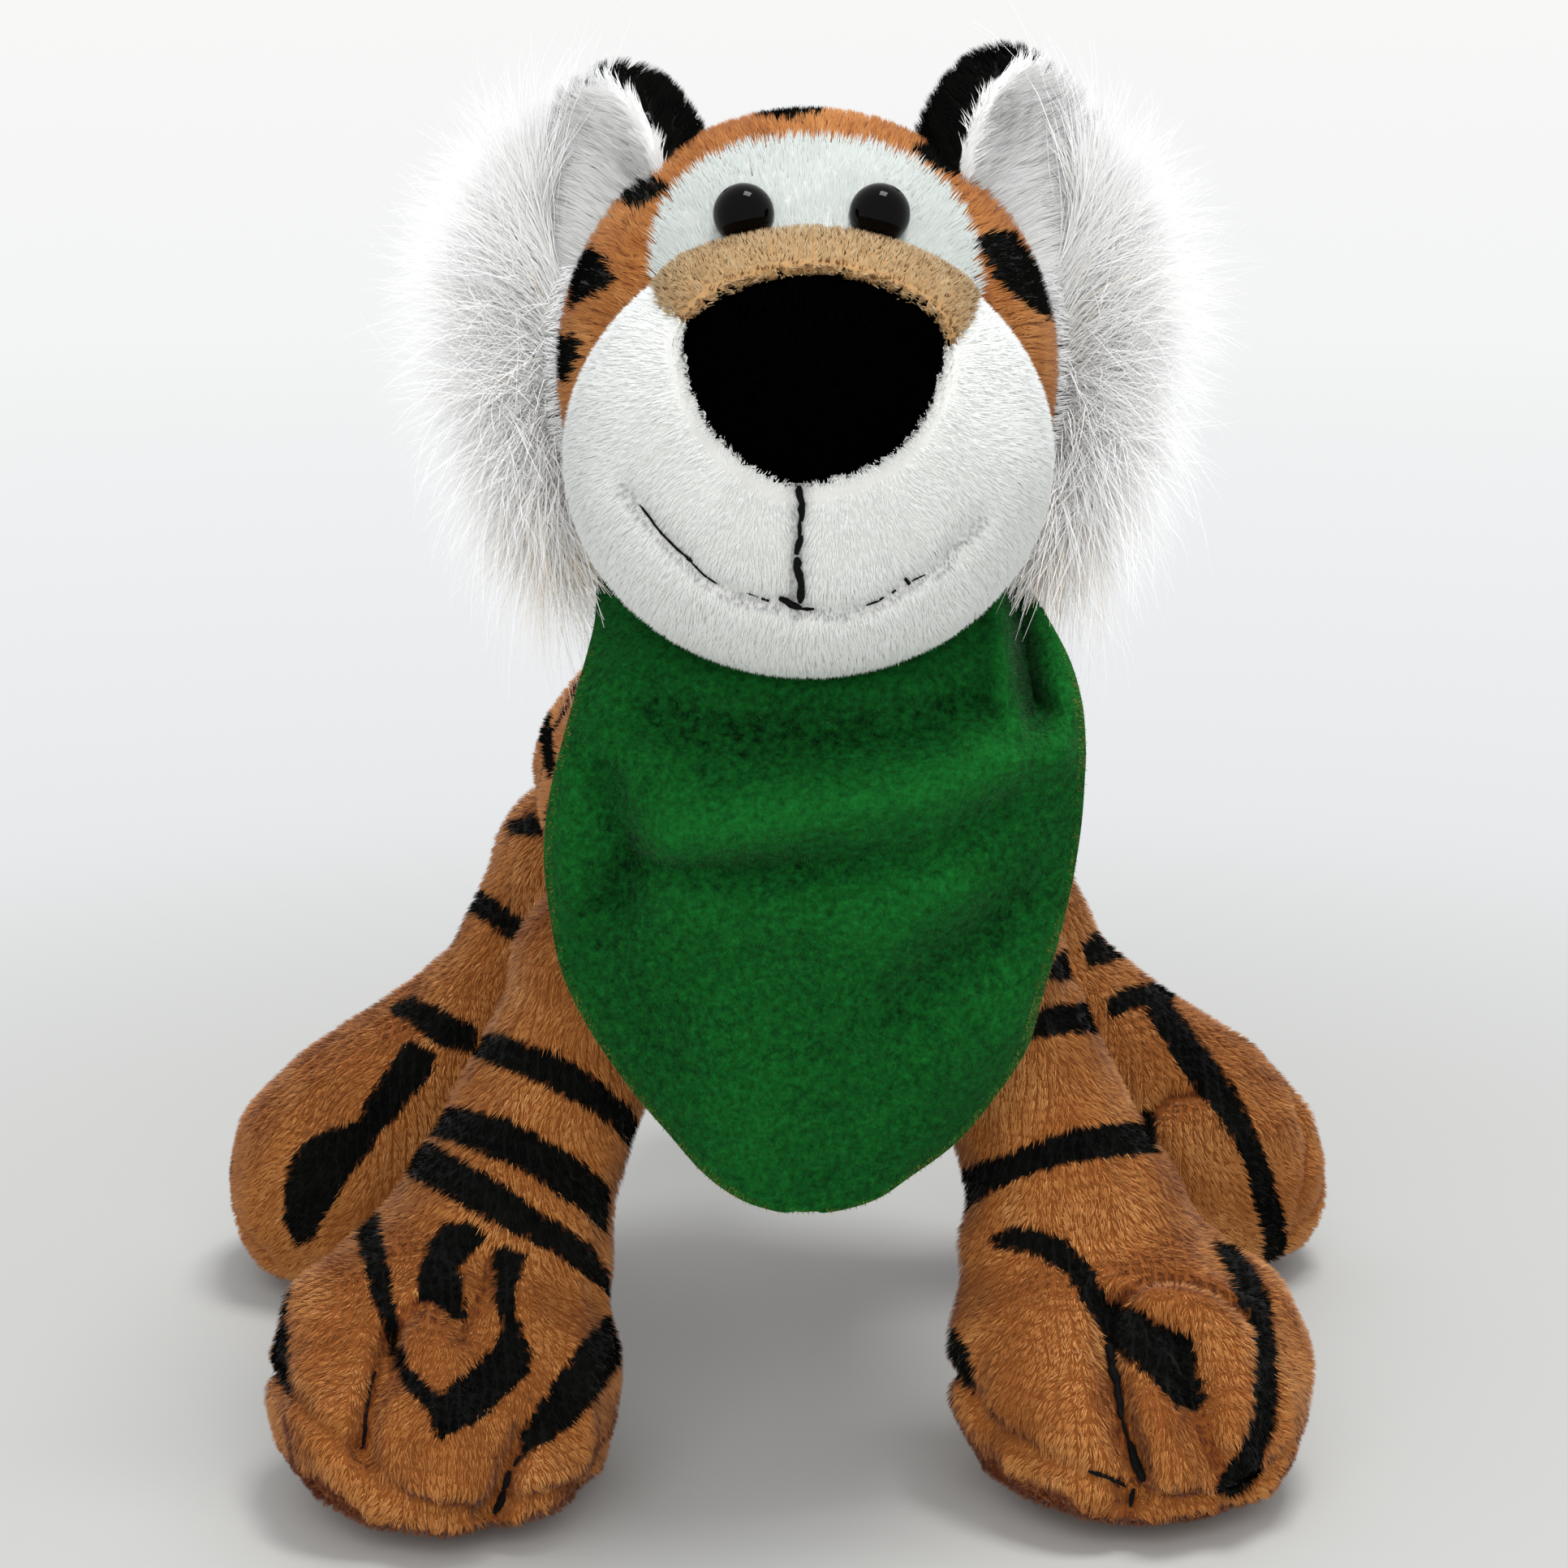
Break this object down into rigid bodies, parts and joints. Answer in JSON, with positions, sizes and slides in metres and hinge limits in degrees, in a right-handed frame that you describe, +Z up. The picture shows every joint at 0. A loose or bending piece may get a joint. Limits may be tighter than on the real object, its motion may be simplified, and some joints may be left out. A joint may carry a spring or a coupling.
{
  "type": "plush tiger",
  "caption": "Standing stuffed tiger with splayed legs, a large round muzzle, bead eyes, side tufts of long pile and a felt neckerchief; head, legs, tail and cloth flex.",
  "frame": {"origin": "on the floor under the middle of the object's box", "axes": "+Z up, the face looks along -Y, +X is the toy's own left"},
  "size_m": [0.1666, 0.1812, 0.1882],
  "materials": {
    "brown_plush": "short pile",
    "dark_brown_plush": "short pile",
    "white_plush": "short pile",
    "tan_plush": "curled short pile",
    "black_plush": "short pile",
    "stuffing": "loose fibre",
    "black_thread": "matte",
    "green_felt": "matte",
    "black_bead": "polished",
    "white_washer": "matte"
  },
  "bodies": {
    "torso": {"torso_skin": "brown_plush", "torso_filling": "stuffing", "neckerchief_collar": "green_felt"},
    "neck": {"neck_skin": "brown_plush", "neck_filling": "stuffing"},
    "head": {"head_skin": "brown_plush", "head_filling": "stuffing", "eye_patch": "white_plush", "left_eye": "black_bead", "right_eye": "black_bead", "left_eye_washer": "white_washer", "right_eye_washer": "white_washer", "muzzle_skin": "white_plush", "nose": "black_plush", "muzzle_bridge": "tan_plush", "muzzle_filling": "stuffing", "mouth_line": "black_thread", "left_smile": "black_thread", "right_smile": "black_thread", "left_ear_back": "black_plush", "left_ear_front": "white_plush", "right_ear_back": "black_plush", "right_ear_front": "white_plush", "left_mane": "white_plush", "right_mane": "white_plush"},
    "front_left_leg": {"front_left_leg_skin": "brown_plush", "front_left_sole": "dark_brown_plush", "front_left_leg_filling": "stuffing", "front_left_toe_stitch_outer": "black_thread", "front_left_toe_stitch_inner": "black_thread"},
    "front_right_leg": {"front_right_leg_skin": "brown_plush", "front_right_sole": "dark_brown_plush", "front_right_leg_filling": "stuffing", "front_right_toe_stitch_outer": "black_thread", "front_right_toe_stitch_inner": "black_thread"},
    "hind_left_leg": {"hind_left_leg_skin": "brown_plush", "hind_left_sole": "dark_brown_plush", "hind_left_leg_filling": "stuffing"},
    "hind_right_leg": {"hind_right_leg_skin": "brown_plush", "hind_right_sole": "dark_brown_plush", "hind_right_leg_filling": "stuffing"},
    "tail": {"tail_skin": "brown_plush", "tail_tip": "black_plush", "tail_filling": "stuffing"},
    "kerchief_flap": {"neckerchief_flap": "green_felt"}
  },
  "joints": [
    {"name": "head_turn", "type": "hinge", "parent": "torso", "child": "neck", "pos_m": [0.0026, -0.0253, 0.114], "axis": [0, 0, 1], "range_deg": [-25, 25], "stiffness_Nm_per_rad": 0.2},
    {"name": "head_nod", "type": "hinge", "parent": "neck", "child": "head", "pos_m": [0.0026, -0.0253, 0.114], "axis": [1, 0, 0], "range_deg": [-20, 8], "stiffness_Nm_per_rad": 0.4},
    {"name": "front_left_leg_swing", "type": "hinge", "parent": "torso", "child": "front_left_leg", "pos_m": [0.0235, -0.0413, 0.068], "axis": [1, 0, 0], "range_deg": [-15, 20], "stiffness_Nm_per_rad": 0.25},
    {"name": "front_right_leg_swing", "type": "hinge", "parent": "torso", "child": "front_right_leg", "pos_m": [-0.0235, -0.0413, 0.068], "axis": [1, 0, 0], "range_deg": [-15, 20], "stiffness_Nm_per_rad": 0.25},
    {"name": "hind_left_leg_swing", "type": "hinge", "parent": "torso", "child": "hind_left_leg", "pos_m": [0.028, 0.0217, 0.066], "axis": [1, 0, 0], "range_deg": [-15, 30], "stiffness_Nm_per_rad": 0.25},
    {"name": "hind_right_leg_swing", "type": "hinge", "parent": "torso", "child": "hind_right_leg", "pos_m": [-0.028, 0.0217, 0.066], "axis": [1, 0, 0], "range_deg": [-15, 30], "stiffness_Nm_per_rad": 0.25},
    {"name": "tail_lift", "type": "hinge", "parent": "torso", "child": "tail", "pos_m": [0, 0.0439, 0.089], "axis": [1, 0, 0], "range_deg": [-10, 60], "stiffness_Nm_per_rad": 0.03},
    {"name": "kerchief_lift", "type": "hinge", "parent": "torso", "child": "kerchief_flap", "pos_m": [0.0026, -0.0693, 0.098], "axis": [-1, 0, 0], "range_deg": [0, 30], "stiffness_Nm_per_rad": 0.01}
  ]
}
